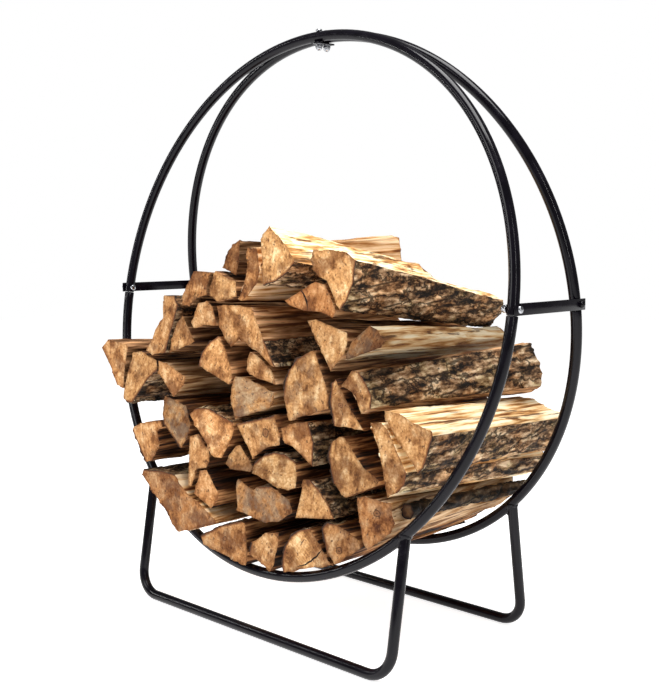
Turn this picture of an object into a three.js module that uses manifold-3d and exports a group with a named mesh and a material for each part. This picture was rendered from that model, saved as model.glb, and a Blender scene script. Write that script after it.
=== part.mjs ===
// A round firewood rack of bent steel tube with its load of split logs.
// Millimetres, +Z up. The rack's hoops face -Y and +Y, and it stands on z = 0.

import * as THREE from "three";
import { mergeVertices } from "three/addons/utils/BufferGeometryUtils.js";
import Module from "manifold-3d";

const wasm = await Module();
wasm.setup();

// ---- driving dimensions ----

const hoopRadius = 498; // tube centreline
const tubeAcross = 19; // across two opposite flats of the drawn tube
const tubeWall = 1.2;
const centreToFoot = 608; // hoop centre down to the foot bar, along the leaning hoop
const footDepth = 378; // between the centrelines of the two foot bars
const legSpread = 674; // between the centrelines of one foot's legs
const footBendRadius = 48;
const boltRise = 12; // side bolts above the hoop's middle, along the leaning hoop
const seamBelowBolt = 10; // where the upper arc of a hoop ends and the lower one starts
const neckLength = 42; // reduced end of the lower arc, inside the upper one
const neckRoot = 8; // how far back inside the lower arc the neck starts
const collarLength = 7; // of the thicker ring that joins neck and arc
const barWidth = 19;
const barThickness = 3;
const barOverhang = 11; // side bar beyond each bolt
const plateOverhang = 11.4; // top plate beyond each bolt
const boltDiameter = 6;
const boltPlay = 0.8; // hole across less bolt across
const headDiameter = 12;
const headHeight = 4;
const nutDiameter = 14;
const nutHeight = 12;
const clearance = 0.3;
const topGap = 0.8; // between the two hoops where they meet at the top
const tubeSides = 12;
const hoopSteps = 36; // along half a hoop
const bendSteps = 6; // round each bend of a foot

// the stack of logs
const drawnInside = 488; // the log outlines are drawn inside a hoop of this inner radius,
const drawnFloor = 127; // whose lowest inner point is at this height
const frontPlane = -193; // y of the sawn ends in the middle of the stack
const frontSkew = 0.08; // the stack's left side stands further forward
const logLength = 392;
const settle = 0.05; // the stack is this much smaller at its back
const logTaper = [0.97, 0.97]; // a log's own width and height at the back against the front
const barkStep = 14; // length of one facet round a bark-covered stretch
const endLeanMost = 0.04; // how far a sawn end may lean out of square, as a slope

// ---- worked out ----

const tubeRadius = tubeAcross / 2;
const tubeCorner = tubeRadius / Math.cos(Math.PI / tubeSides);
const topSpacing = 2 * tubeCorner + topGap;
const lean = Math.asin((footDepth - topSpacing) / 2 / (hoopRadius + centreToFoot));
// how far a straight facet of the hoop falls inside its true arc
const chordSag = hoopRadius * (1 - Math.cos(Math.PI / (2 * hoopSteps)));
const hoopPlay = clearance + chordSag;
const centreHeight = tubeRadius + centreToFoot * Math.cos(lean);
const centreSpacing = footDepth - 2 * centreToFoot * Math.sin(lean);
const hoopTop = centreHeight + hoopRadius * Math.cos(lean);
const boltHeight = centreHeight + boltRise * Math.cos(lean);
const boltSpacing = centreSpacing - 2 * boltRise * Math.sin(lean);
const boltHole = boltDiameter + boltPlay;
const insideRadius = hoopRadius - tubeCorner;
const stackScale = insideRadius / drawnInside;
const stackFloor = centreHeight - insideRadius * Math.cos(lean);

// ---- materials ----

const blackPaint = () => new THREE.MeshStandardMaterial({ color: 0x0c0c10, roughness: 0.3, metalness: 0.4 });
const chrome = () => new THREE.MeshStandardMaterial({ color: 0xd0d2d6, roughness: 0.15, metalness: 1 });
const splitWood = () => new THREE.MeshStandardMaterial({ color: 0xc79a62, roughness: 0.85, metalness: 0 });

// ---- solids ----

function toManifold(geometry) {
  const bare = geometry.clone();
  bare.deleteAttribute("normal");
  bare.deleteAttribute("uv");
  const merged = mergeVertices(bare, 1e-4);
  const mesh = new wasm.Mesh({
    numProp: 3,
    vertProperties: new Float32Array(merged.attributes.position.array),
    triVerts: new Uint32Array(merged.index.array),
  });
  return new wasm.Manifold(mesh);
}

function toGeometry(manifold) {
  const mesh = manifold.getMesh();
  const geometry = new THREE.BufferGeometry();
  geometry.setAttribute("position", new THREE.BufferAttribute(mesh.vertProperties, 3));
  geometry.setIndex(new THREE.BufferAttribute(mesh.triVerts, 1));
  geometry.computeVertexNormals();
  return geometry;
}

function cut(geometry, ...cutters) {
  let solid = toManifold(geometry);
  for (const cutter of cutters) {
    solid = solid.subtract(toManifold(cutter));
  }
  return toGeometry(solid);
}

function join(first, second) {
  return toGeometry(toManifold(first).add(toManifold(second)));
}

// A path through given points, which an extrusion follows point by point.
class BentPath extends THREE.Curve {
  constructor(stations) {
    super();
    this.stations = stations;
  }
  station(u) {
    return this.stations[Math.round(u * (this.stations.length - 1))];
  }
  getPointAt(u) {
    return this.station(u).point.clone();
  }
  getTangentAt(u) {
    return this.station(u).tangent.clone();
  }
}

// Stations of an arc in the XZ plane, from angle start to angle end.
function arcStations(centreX, centreZ, radius, start, end, steps) {
  const turn = Math.sign(end - start);
  return Array.from({ length: steps + 1 }, (_, i) => {
    const angle = start + ((end - start) * i) / steps;
    const point = new THREE.Vector3(
      centreX + radius * Math.cos(angle), 0, centreZ + radius * Math.sin(angle));
    const tangent = new THREE.Vector3(-turn * Math.sin(angle), 0, turn * Math.cos(angle));
    return { point, tangent };
  });
}

function ring(across, turned = 0) {
  const corner = across / 2 / Math.cos(Math.PI / tubeSides);
  return Array.from({ length: tubeSides }, (_, i) => {
    const angle = ((i + 0.5) / tubeSides) * 2 * Math.PI + turned;
    return new THREE.Vector2(corner * Math.cos(angle), corner * Math.sin(angle));
  });
}

// A tube along stations; with no wall given it is a solid bar.
function tube(stations, across, wall = 0, turned = 0) {
  const section = new THREE.Shape(ring(across, turned));
  if (wall > 0) {
    section.holes.push(new THREE.Path(ring(across - 2 * wall, turned)));
  }
  return new THREE.ExtrudeGeometry(section, {
    steps: stations.length - 1,
    extrudePath: new BentPath(stations),
    bevelEnabled: false,
  });
}

// A round bar along Z for cutting bolt holes.
function holeCutter(length) {
  const corner = boltHole / 2 / Math.cos(Math.PI / tubeSides);
  return new THREE.CylinderGeometry(corner, corner, length, tubeSides).rotateX(Math.PI / 2);
}

// ---- the rack: everything of one side lies in a plane that leans inward ----

const seamAngle = (seamBelowBolt - boltRise) / hoopRadius;
const throughTube = 3 * tubeAcross; // long enough to cut right through
const sideHoles = [1, -1].map((side) =>
  holeCutter(throughTube).rotateY(Math.PI / 2).translate(side * hoopRadius, 0, boltRise));
const topHole = holeCutter(throughTube).rotateX(lean).translate(0, 0, hoopRadius);

function upperArc() {
  const stations = arcStations(0, 0, hoopRadius, -seamAngle, Math.PI + seamAngle, hoopSteps);
  return cut(tube(stations, tubeAcross, tubeWall), ...sideHoles, topHole);
}

// The lower arc's ends are necked down, and slide into the upper arc.
function lowerArc() {
  const end = seamAngle + clearance / hoopRadius;
  const neckAcross = tubeAcross - 2 * tubeWall - 2 * hoopPlay;
  const collarAcross = tubeAcross - tubeWall;
  let arc = tube(arcStations(0, 0, hoopRadius, -Math.PI + end, -end, hoopSteps), tubeAcross, tubeWall);
  for (const [start, turn] of [[-end, 1], [Math.PI + end, -1]]) {
    const root = start - (turn * neckRoot) / hoopRadius;
    const tip = start + (turn * neckLength) / hoopRadius;
    const collarEnd = root + (turn * collarLength) / hoopRadius;
    const neck = tube(arcStations(0, 0, hoopRadius, root, tip, 3), neckAcross, tubeWall);
    const collar = tube(arcStations(0, 0, hoopRadius, root, collarEnd, 2), collarAcross, 2 * tubeWall);
    arc = join(join(arc, collar), neck);
  }
  return cut(arc, ...sideHoles);
}

function footTube() {
  const legX = legSpread / 2;
  const hoopMeet = -Math.sqrt(hoopRadius ** 2 - legX ** 2);
  const bendX = legX - footBendRadius;
  const bendZ = footBendRadius - centreToFoot;
  const legStation = (x, z, direction) => ({
    point: new THREE.Vector3(x, 0, z),
    tangent: new THREE.Vector3(0, 0, direction),
  });
  const stations = [
    legStation(-legX, hoopMeet, -1),
    ...arcStations(-bendX, bendZ, footBendRadius, Math.PI, 1.5 * Math.PI, bendSteps),
    ...arcStations(bendX, bendZ, footBendRadius, 1.5 * Math.PI, 2 * Math.PI, bendSteps),
    legStation(legX, hoopMeet, 1),
  ];
  // turned by the lean, so that one flat of the bar lies on the floor
  const blank = tube(stations, tubeAcross, tubeWall, lean);
  // the legs' tops are cut to fit round the hoop's underside
  const hoopBelow = arcStations(0, 0, hoopRadius, -0.9 * Math.PI, -0.1 * Math.PI, hoopSteps);
  const hoopRoom = tube(hoopBelow, tubeAcross + 2 * hoopPlay);
  return cut(blank, hoopRoom);
}

function sideBar() {
  const bar = new THREE.BoxGeometry(barThickness, boltSpacing + 2 * barOverhang, barWidth);
  const holes = [-1, 1].map((end) =>
    holeCutter(4 * barThickness).rotateY(Math.PI / 2).translate(0, (end * boltSpacing) / 2, 0));
  return cut(bar, ...holes);
}

function topPlate() {
  const plate = new THREE.BoxGeometry(barWidth, topSpacing + 2 * plateOverhang, barThickness);
  const holes = [-1, 1].map((end) => holeCutter(4 * barThickness).translate(0, (end * topSpacing) / 2, 0));
  return cut(plate, ...holes);
}

// A bolt with its acorn nut run up tight, along Z: the nut is below and the head on top.
// grip is the thickness between head and nut.
function boltWithNut(grip) {
  const shank = boltDiameter / 2;
  const nut = nutDiameter / 2;
  const head = headDiameter / 2;
  const low = -grip / 2 - clearance;
  const high = grip / 2 + clearance;
  const profile = [
    [0, low - nutHeight],
    [0.55 * nut, low - 0.88 * nutHeight],
    [0.88 * nut, low - 0.55 * nutHeight],
    [nut, low - 0.45 * nutHeight],
    [nut, low],
    [shank, low],
    [shank, high],
    [head, high],
    [0.85 * head, high + 0.6 * headHeight],
    [0, high + headHeight],
  ].map(([r, z]) => new THREE.Vector2(r, z));
  return new THREE.LatheGeometry(profile, tubeSides).rotateX(Math.PI / 2);
}

// ---- logs ----

// Corners [x, z] of each log's sawn end, in the middle plane of the front. A third number is
// the rise of a round, bark-covered stretch from that corner to the next one.
// taper and shift say how a crooked log's back end differs in width and height, and in place.
const logs = [
  // on the hoops
  { corners: [[-127, 165], [-121, 150], [-6, 130], [-3, 160], [-12, 210], [-23, 211], [-75, 194]] },
  { corners: [[0, 154], [50, 132], [60, 145], [72, 188], [73, 208], [41, 200], [5, 176]] },
  { corners: [[82, 135.5], [198, 171.5], [188, 178], [146, 228, 25]] },
  {
    corners: [[202, 174], [258, 211], [251, 227], [203, 245], [184, 244], [173, 234], [182, 198]],
    taper: [0.9, 0.92],
    shift: [-4, 0],
  },
  {
    corners: [[250, 299], [268, 303], [322, 300], [323, 281], [329, 268], [320, 248], [270, 210], [260, 222]],
    taper: [0.85, 0.85],
    shift: [-14, -6],
  },
  { corners: [[325, 286, 14], [353, 286, 14]], reach: -20, length: 370, shift: [-8, -16] },
  {
    corners: [[-287, 261], [-280, 273], [-231, 277], [-191, 275], [-172, 255], [-150, 239],
      [-128, 232], [-79, 203], [-80, 197], [-178, 163], [-201, 174], [-207, 190]],
    reach: 5,
  },
  // second layer
  { corners: [[-127, 292], [-107, 296], [-77, 254], [-80, 242], [-99, 223], [-146, 243], [-130, 275]] },
  {
    corners: [[-156, 354], [-131, 360], [-102, 332], [-100, 312], [-109, 299], [-133, 293],
      [-149, 256], [-157, 257]],
  },
  {
    corners: [[-35, 276], [-28, 291], [10, 275], [26, 284], [54, 288], [97, 271], [106, 249],
      [80, 229], [39, 217], [-32, 229]],
  },
  { corners: [[132, 311], [150, 311, 6], [202, 252], [111, 239]] },
  {
    corners: [[207, 396], [221, 396], [262, 352], [296, 334], [294, 323], [228, 295], [215, 299],
      [199, 315], [187, 362], [192, 384]],
  },
  {
    corners: [[278, 429], [302, 431], [314, 420], [351, 353], [347, 333], [331, 316], [311, 306], [294, 389]],
    taper: [1, 0.9],
    shift: [25, -18],
  },
  {
    corners: [[304, 452], [334, 451], [362, 438], [400, 428], [402, 420], [386, 366], [375, 356], [308, 435]],
    taper: [1.05, 1],
    shift: [12, -4],
  },
  // third layer
  {
    corners: [[-315, 353], [-293, 363], [-236, 374], [-229, 364], [-244, 352], [-237, 327],
      [-260, 291], [-280, 287], [-317, 344]],
  },
  { corners: [[-230, 388], [-221, 426], [-160, 410], [-150, 380], [-160, 347], [-179, 325], [-227, 368]] },
  {
    corners: [[-153, 394], [-143, 406, 3], [-101, 412], [-39, 393], [-36, 380], [-42, 360],
      [-67, 321], [-84, 321]],
  },
  { corners: [[-31, 391], [65, 417], [77, 382], [76, 365], [45, 357], [8, 330], [-9, 359]] },
  { corners: [[-32, 351], [-20, 353], [10, 318], [4, 307], [-48, 304], [-57, 314], [-52, 327]] },
  { corners: [[16, 325, 18], [112, 341], [116, 316], [114, 293], [97, 287], [71, 287], [12, 306]] },
  { corners: [[80, 396], [98, 406], [144, 414], [155, 380], [151, 336], [105, 366], [85, 370]] },
  // fourth layer
  {
    corners: [[236, 512], [251, 511, 3], [281, 470], [279, 452], [259, 441], [247, 466],
      [236, 476], [217, 483]],
    taper: [1, 1.4],
    shift: [88, 33],
  },
  { corners: [[203, 495], [238, 443], [264, 412], [199, 415], [191, 452], [195, 486]] },
  { corners: [[84, 452, 15], [140, 535], [158, 540], [188, 466], [188, 441], [96, 410]] },
  { corners: [[-35, 479], [2, 477], [63, 456], [63, 438], [55, 429], [-33, 399], [-43, 434], [-43, 458]] },
  { corners: [[8, 524], [22, 522], [58, 497], [68, 471], [30, 478], [3, 485], [-5, 492]] },
  {
    corners: [[-80, 605], [-44, 609], [9, 606], [42, 545], [68, 503], [60, 503], [22, 530],
      [-22, 547], [-42, 530], [-60, 546], [-72, 567]],
  },
  { corners: [[-126, 499, 8], [-75, 549], [-55, 525], [-40, 487], [-40, 473], [-48, 461], [-126, 489]] },
  { corners: [[-237, 492], [-212, 487], [-162, 466], [-168, 450], [-199, 423], [-238, 466]] },
  {
    corners: [[-313, 502], [-289, 506], [-245, 491], [-241, 472], [-268, 453], [-313, 401],
      [-334, 401], [-343, 411], [-332, 457]],
  },
  {
    corners: [[-386, 523], [-331, 518], [-325, 511], [-338, 466], [-344, 427], [-364, 430],
      [-381, 467], [-408, 505]],
  },
  // top
  { corners: [[-168, 583], [-136, 534], [-208, 507], [-196, 543], [-186, 563]] },
  {
    corners: [[-220, 618], [-192, 619], [-181, 601], [-190, 575], [-216, 506], [-240, 503],
      [-254, 499], [-272, 507], [-268, 515], [-256, 526], [-247, 550], [-221, 578], [-215, 594], [-223, 607]],
  },
  { corners: [[-125, 608], [-101, 612], [-86, 602], [-78, 567], [-114, 566], [-141, 558], [-144, 567]] },
  { corners: [[-81, 668], [-43, 653], [-28, 652], [-26, 623], [-76, 611], [-96, 624], [-96, 637]] },
  {
    corners: [[-136, 667], [-92, 664], [-102, 636], [-102, 623], [-127, 616], [-149, 599],
      [-170, 604], [-161, 632]],
  },
  { corners: [[-32, 727], [-52, 716], [-79, 675], [-43, 660], [-35, 688]], reach: -15 },
  {
    corners: [[0, 713], [22, 711], [31, 671], [24, 648], [4, 627], [-13, 614], [-20, 617],
      [-3, 660], [0, 687], [-4, 699]],
    taper: [1, 1.45],
    shift: [-3, 30],
  },
  { corners: [[56, 751], [97, 714], [113, 688, 9], [37, 646], [33, 727]], taper: [1, 0.7], shift: [8, -25] },
  {
    corners: [[156, 710], [200, 711], [227, 708], [246, 695], [242, 657], [228, 626], [213, 609],
      [183, 659], [166, 664], [154, 678], [149, 694]],
    taper: [1.15, 0.68],
    shift: [22, -50],
  },
  {
    corners: [[88, 621], [158, 657], [178, 652], [190, 638], [205, 607], [199, 596], [171, 605],
      [135, 605], [99, 613]],
    taper: [0.6, 0.6],
    shift: [-25, -8],
  },
  {
    corners: [[140, 590], [160, 593], [229, 574], [229, 557], [221, 537], [191, 504]],
    taper: [0.85, 0.9],
    shift: [-10, 0],
  },
  {
    corners: [[236, 559], [275, 590], [289, 584], [305, 566], [300, 554], [224, 526], [225, 537]],
    shift: [-15, -3],
  },
];

// Points of an outline: its corners, with each round stretch as an arc of the given rise.
function outlinePoints(corners) {
  const centre = corners.reduce((sum, c) => sum.add(new THREE.Vector2(c[0], c[1])), new THREE.Vector2())
    .divideScalar(corners.length);
  const points = [];
  corners.forEach(([x, z, rise = 0], i) => {
    const [nextX, nextZ] = corners[(i + 1) % corners.length];
    const start = new THREE.Vector2(x, z);
    points.push(start);
    if (rise === 0) {
      return;
    }
    const chord = new THREE.Vector2(nextX - x, nextZ - z);
    const half = chord.length() / 2;
    const middle = start.clone().addScaledVector(chord, 0.5);
    let outward = new THREE.Vector2(-chord.y, chord.x).normalize();
    if (corners.length > 2 && outward.dot(middle.clone().sub(centre)) < 0) {
      outward = outward.negate();
    }
    const radius = (half * half + rise * rise) / (2 * rise);
    const arcCentre = middle.clone().addScaledVector(outward, rise - radius);
    const reach = Math.asin(Math.min(1, half / radius));
    const steps = Math.max(3, Math.round((reach * radius) / barkStep));
    const along = chord.clone().normalize();
    for (let step = 1; step < steps; step += 1) {
      const angle = reach * ((2 * step) / steps - 1);
      points.push(arcCentre.clone()
        .addScaledVector(outward, radius * Math.cos(angle))
        .addScaledVector(along, radius * Math.sin(angle)));
    }
  });
  return points;
}

// The slope of a log's sawn end, a little different for each log and end.
const endLean = (i) => endLeanMost * Math.sin(2.4 * i + 1);

function logGeometry({ corners, reach = 0, length = logLength, taper = logTaper, shift = [0, 0] }, index) {
  const points = outlinePoints(corners);
  const centre = points.reduce((sum, p) => sum.add(p), new THREE.Vector2()).divideScalar(points.length);
  const geometry = new THREE.ExtrudeGeometry(new THREE.Shape(points), { depth: 1, bevelEnabled: false });
  const position = geometry.attributes.position;
  for (let i = 0; i < position.count; i += 1) {
    const x = position.getX(i);
    const z = position.getY(i);
    const atBack = position.getZ(i) > 0.5;
    const leaning = (z - centre.y) * endLean(atBack ? index + 0.5 : index);
    const front = frontPlane + frontSkew * x - reach;
    const y = front + leaning + (atBack ? length : 0);
    const ownX = atBack ? centre.x + taper[0] * (x - centre.x) + shift[0] : x;
    const ownZ = atBack ? centre.y + taper[1] * (z - centre.y) + shift[1] : z;
    const shared = stackScale * (1 - (settle * (y - frontPlane)) / logLength);
    position.setXYZ(i, ownX * shared, y, stackFloor + (ownZ - drawnFloor) * shared);
  }
  return toGeometry(outwardSolid(geometry));
}

// Turns a closed mesh the right way out.
function outwardSolid(geometry) {
  const solid = toManifold(geometry);
  return solid.volume() > 0 ? solid : toManifold(flipped(geometry));
}

function flipped(geometry) {
  const position = geometry.attributes.position;
  for (let i = 0; i < position.count; i += 3) {
    const first = new THREE.Vector3().fromBufferAttribute(position, i);
    const last = new THREE.Vector3().fromBufferAttribute(position, i + 2);
    position.setXYZ(i, last.x, last.y, last.z);
    position.setXYZ(i + 2, first.x, first.y, first.z);
  }
  return geometry;
}

// ---- assembly ----

const object = new THREE.Group();

function addPart(parent, name, geometry, material) {
  const mesh = new THREE.Mesh(geometry, material);
  mesh.name = name;
  parent.add(mesh);
  return mesh;
}

const upperGeometry = upperArc();
const lowerGeometry = lowerArc();
const footGeometry = footTube();
for (const [place, turn] of [["front", 0], ["rear", Math.PI]]) {
  const turned = new THREE.Group();
  turned.rotation.z = turn;
  const side = new THREE.Group();
  side.position.set(0, -centreSpacing / 2, centreHeight);
  side.rotation.x = -lean;
  addPart(side, `hoop_${place}_upper`, upperGeometry, blackPaint());
  addPart(side, `hoop_${place}_lower`, lowerGeometry, blackPaint());
  addPart(side, `foot_${place}`, footGeometry, blackPaint());
  turned.add(side);
  object.add(turned);
}

const barGeometry = sideBar();
const barOffset = hoopRadius + tubeRadius + clearance + barThickness / 2;
// how far the hoop has curved inward at the upper edge of a nut
const nutCurve = hoopRadius - Math.sqrt(hoopRadius ** 2 - (boltRise + nutDiameter / 2) ** 2);
const sideGrip = tubeAcross + chordSag + nutCurve + clearance + barThickness;
const sideBolt = boltWithNut(sideGrip).rotateY(Math.PI / 2);
for (const [place, side] of [["left", -1], ["right", 1]]) {
  addPart(object, `side_bar_${place}`, barGeometry, blackPaint())
    .position.set(side * barOffset, 0, boltHeight);
  const boltX = side * (barOffset + barThickness / 2 - sideGrip / 2);
  for (const [row, y, finish] of [["front", -0.5, chrome], ["rear", 0.5, blackPaint]]) {
    addPart(object, `side_bolt_${row}_${place}`, sideBolt, finish())
      .position.set(boltX, y * boltSpacing, boltHeight);
  }
}

const plateTop = hoopTop - tubeCorner - hoopPlay;
const plate = addPart(object, "top_plate", topPlate(), blackPaint());
plate.position.set(0, 0, plateTop - barThickness / 2);
const topGrip = hoopTop + tubeCorner - (plateTop - barThickness);
const topBolt = boltWithNut(topGrip);
for (const [row, y] of [["front", -0.5], ["rear", 0.5]]) {
  addPart(object, `top_bolt_${row}`, topBolt, chrome())
    .position.set(0, y * topSpacing, plateTop - barThickness + topGrip / 2);
}

logs.forEach((log, i) => {
  const name = `log_${String(i + 1).padStart(2, "0")}`;
  addPart(object, name, logGeometry(log, i), splitWood());
});

export default object;
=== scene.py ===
import math

import bpy
import numpy as np
from mathutils import Matrix, Vector
from mathutils.kdtree import KDTree


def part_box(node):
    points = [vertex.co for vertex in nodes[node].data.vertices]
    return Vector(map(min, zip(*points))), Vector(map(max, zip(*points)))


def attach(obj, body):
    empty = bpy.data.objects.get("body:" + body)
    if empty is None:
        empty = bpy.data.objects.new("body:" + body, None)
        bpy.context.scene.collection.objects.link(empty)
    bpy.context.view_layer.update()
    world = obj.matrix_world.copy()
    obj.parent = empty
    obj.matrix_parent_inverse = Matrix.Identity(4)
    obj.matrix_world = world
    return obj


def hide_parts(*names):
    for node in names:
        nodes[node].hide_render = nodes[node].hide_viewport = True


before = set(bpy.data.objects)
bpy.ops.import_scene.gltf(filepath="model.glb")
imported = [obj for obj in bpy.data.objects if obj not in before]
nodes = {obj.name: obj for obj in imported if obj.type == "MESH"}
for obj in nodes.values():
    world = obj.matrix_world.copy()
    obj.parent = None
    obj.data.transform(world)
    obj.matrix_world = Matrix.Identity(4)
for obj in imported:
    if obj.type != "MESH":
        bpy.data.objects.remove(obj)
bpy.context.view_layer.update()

print("frame loaded")


def deselectAll():
    if bpy.context.object and bpy.context.object.mode != "OBJECT":
        bpy.ops.object.mode_set(mode="OBJECT")
    bpy.ops.object.select_all(action="DESELECT")


def takeUp(piece):
    deselectAll()
    piece.select_set(True)
    bpy.context.view_layer.objects.active = piece


def applyModifier(piece, modifier):
    takeUp(piece)
    bpy.ops.object.modifier_apply(modifier=modifier.name)


def smooth(piece, angle=40):
    takeUp(piece)
    bpy.ops.object.shade_smooth_by_angle(angle=math.radians(angle))


def finishPiece(piece, name, material, slotName, *replaced):
    takeUp(piece)
    bpy.ops.object.transform_apply(location=True, rotation=True, scale=True)
    piece.name = name
    piece.data.name = name
    piece.data.materials.clear()
    piece.data.materials.append(material)
    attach(piece, "root")
    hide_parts(*replaced)
    return piece


def reliefTexture(name, kind, size):
    texture = bpy.data.textures.new(name, kind)
    texture.noise_scale = size
    return texture


# camera, light and floor

camera = {
    "place": (1.4868, -1.5099, 0.7394),
    "tilt": math.pi / 2 - 0.102,
    "turn": 0.7719,
    "lens": 57.8,
    "sensor": 36,
    "seesTo": 60,
}
studio = {
    "skySeen": 1.0,
    "skyLight": 0.22,
    # name: place, aimed at, width, height, watts
    "softBoxes": {
        "overheadBox": ((0.5, -0.3, 2.8), (0, 0, 0.4), 1.4, 1.4, 80),
        "frontBox": ((-0.9, -2.7, 1.9), (0, 0, 0.5), 1.2, 1.4, 27),
        "rightStrip": ((2.6, -0.9, 1.5), (0, 0, 0.6), 0.05, 1.8, 12),
        "leftStrip": ((-2.2, -1.5, 1.4), (0, 0, 0.6), 0.05, 1.8, 10),
    },
    "floorSize": 14,
    "floorGlow": 0.84,
    "floorBelow": 0.0006,
    "floorTones": [(0.3, (0.86, 0.86, 0.86)), (0.7, (0.9, 0.9, 0.9))],
    "floorToneSize": 3,
    "floorGrainSize": 60,
    "floorRoughness": (0.75, 0.9),
}


def placeCamera():
    bpy.ops.object.camera_add(
        location=camera["place"], rotation=(camera["tilt"], 0, camera["turn"]))
    view = bpy.context.object
    view.name = "camera"
    view.data.lens = camera["lens"]
    view.data.sensor_width = camera["sensor"]
    view.data.clip_end = camera["seesTo"]
    bpy.context.scene.camera = view


def placeLights():
    world = bpy.data.worlds.new("studioSky")
    bpy.context.scene.world = world
    world.use_nodes = True
    tree = world.node_tree
    sky = tree.nodes["Background"]
    sky.inputs["Color"].default_value = (1, 1, 1, 1)
    # the backdrop is seen white, and lights the object more softly
    rays = tree.nodes.new("ShaderNodeLightPath")
    level = tree.nodes.new("ShaderNodeMapRange")
    level.inputs["To Min"].default_value = studio["skyLight"]
    level.inputs["To Max"].default_value = studio["skySeen"]
    tree.links.new(rays.outputs["Is Camera Ray"], level.inputs["Value"])
    tree.links.new(level.outputs["Result"], sky.inputs["Strength"])
    bpy.context.scene.view_settings.view_transform = "Standard"
    for name, (place, aim, width, height, watts) in studio["softBoxes"].items():
        bpy.ops.object.light_add(type="AREA", location=place)
        box = bpy.context.object
        box.name = name
        box.rotation_euler = (Vector(aim) - Vector(place)).to_track_quat("-Z", "Y").to_euler()
        box.data.shape = "RECTANGLE"
        box.data.size = width
        box.data.size_y = height
        box.data.energy = watts


def newMaterial(name):
    material = bpy.data.materials.new(name)
    material.use_nodes = True
    tree = material.node_tree
    return material, tree, tree.nodes["Principled BSDF"]


def feed(tree, socket, value):
    if isinstance(value, bpy.types.NodeSocket):
        tree.links.new(value, socket)
    else:
        socket.default_value = value


def noise(tree, vector, scale, detail=3, roughness=0.55):
    node = tree.nodes.new("ShaderNodeTexNoise")
    feed(tree, node.inputs["Vector"], vector)
    node.inputs["Scale"].default_value = scale
    node.inputs["Detail"].default_value = detail
    node.inputs["Roughness"].default_value = roughness
    return node.outputs["Fac"]


def stretch(tree, vector, scale):
    node = tree.nodes.new("ShaderNodeMapping")
    feed(tree, node.inputs["Vector"], vector)
    node.inputs["Scale"].default_value = scale
    return node.outputs["Vector"]


def maths(tree, operation, first, second=0.0, third=None):
    node = tree.nodes.new("ShaderNodeMath")
    node.operation = operation
    feed(tree, node.inputs[0], first)
    feed(tree, node.inputs[1], second)
    if third is not None:
        feed(tree, node.inputs[2], third)
    return node.outputs[0]


def span(tree, value, low, high, toLow=0.0, toHigh=1.0):
    node = tree.nodes.new("ShaderNodeMapRange")
    node.interpolation_type = "SMOOTHSTEP"
    feed(tree, node.inputs["Value"], value)
    node.inputs["From Min"].default_value = low
    node.inputs["From Max"].default_value = high
    node.inputs["To Min"].default_value = toLow
    node.inputs["To Max"].default_value = toHigh
    return node.outputs["Result"]


def ramp(tree, value, stops):
    node = tree.nodes.new("ShaderNodeValToRGB")
    feed(tree, node.inputs["Fac"], value)
    elements = node.color_ramp.elements
    while len(elements) < len(stops):
        elements.new(0.5)
    for element, (place, colour) in zip(elements, stops):
        element.position = place
        element.color = (*colour, 1)
    return node.outputs["Color"]


def mix(tree, share, first, second, blend="MIX"):
    node = tree.nodes.new("ShaderNodeMix")
    node.data_type = "RGBA"
    node.blend_type = blend
    feed(tree, node.inputs[0], share)
    for socket, value in ((node.inputs[6], first), (node.inputs[7], second)):
        feed(tree, socket, (*value, 1) if isinstance(value, tuple) else value)
    return node.outputs[2]


def attribute(tree, name):
    node = tree.nodes.new("ShaderNodeAttribute")
    node.attribute_name = name
    split = tree.nodes.new("ShaderNodeSeparateXYZ")
    tree.links.new(node.outputs["Vector"], split.inputs[0])
    return node.outputs["Vector"], split.outputs


def objectPlace(tree):
    return tree.nodes.new("ShaderNodeTexCoord").outputs["Object"]


def bump(tree, shader, height, strength, distance):
    node = tree.nodes.new("ShaderNodeBump")
    node.inputs["Strength"].default_value = strength
    node.inputs["Distance"].default_value = distance
    feed(tree, node.inputs["Height"], height)
    tree.links.new(node.outputs["Normal"], shader.inputs["Normal"])


def layFloor():
    bpy.ops.mesh.primitive_plane_add(size=studio["floorSize"], location=(0, 0, -studio["floorBelow"]))
    floor = bpy.context.object
    floor.name = "floor"
    material, tree, shader = newMaterial("paleFloor")
    place = objectPlace(tree)
    feed(tree, shader.inputs["Base Color"],
         ramp(tree, noise(tree, place, studio["floorToneSize"]), studio["floorTones"]))
    feed(tree, shader.inputs["Roughness"],
         span(tree, noise(tree, place, studio["floorGrainSize"]), 0.3, 0.7, *studio["floorRoughness"]))
    shader.inputs["Emission Color"].default_value = (1, 1, 1, 1)
    shader.inputs["Emission Strength"].default_value = studio["floorGlow"]
    floor.data.materials.append(material)


placeCamera()
placeLights()
layFloor()
print("camera, light and floor placed")


# the rack's finishes

paint = {
    "wearSize": 26,
    "tones": [(0.35, (0.002, 0.0015, 0.003)), (0.62, (0.004, 0.003, 0.006)), (0.8, (0.014, 0.012, 0.017))],
    "roughness": (0.3, 0.75, 0.11, 0.24),
    "sheen": 0.2,
    "rippleSize": 60,
    "ripple": (0.05, 0.0006),
}
plating = {
    "smearSize": 420,
    "tones": [(0.35, (0.26, 0.265, 0.28)), (0.65, (0.56, 0.57, 0.60))],
    "roughness": (0.3, 0.7, 0.08, 0.26),
    "grainSize": 1400,
    "grain": (0.08, 0.0002),
}


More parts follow.
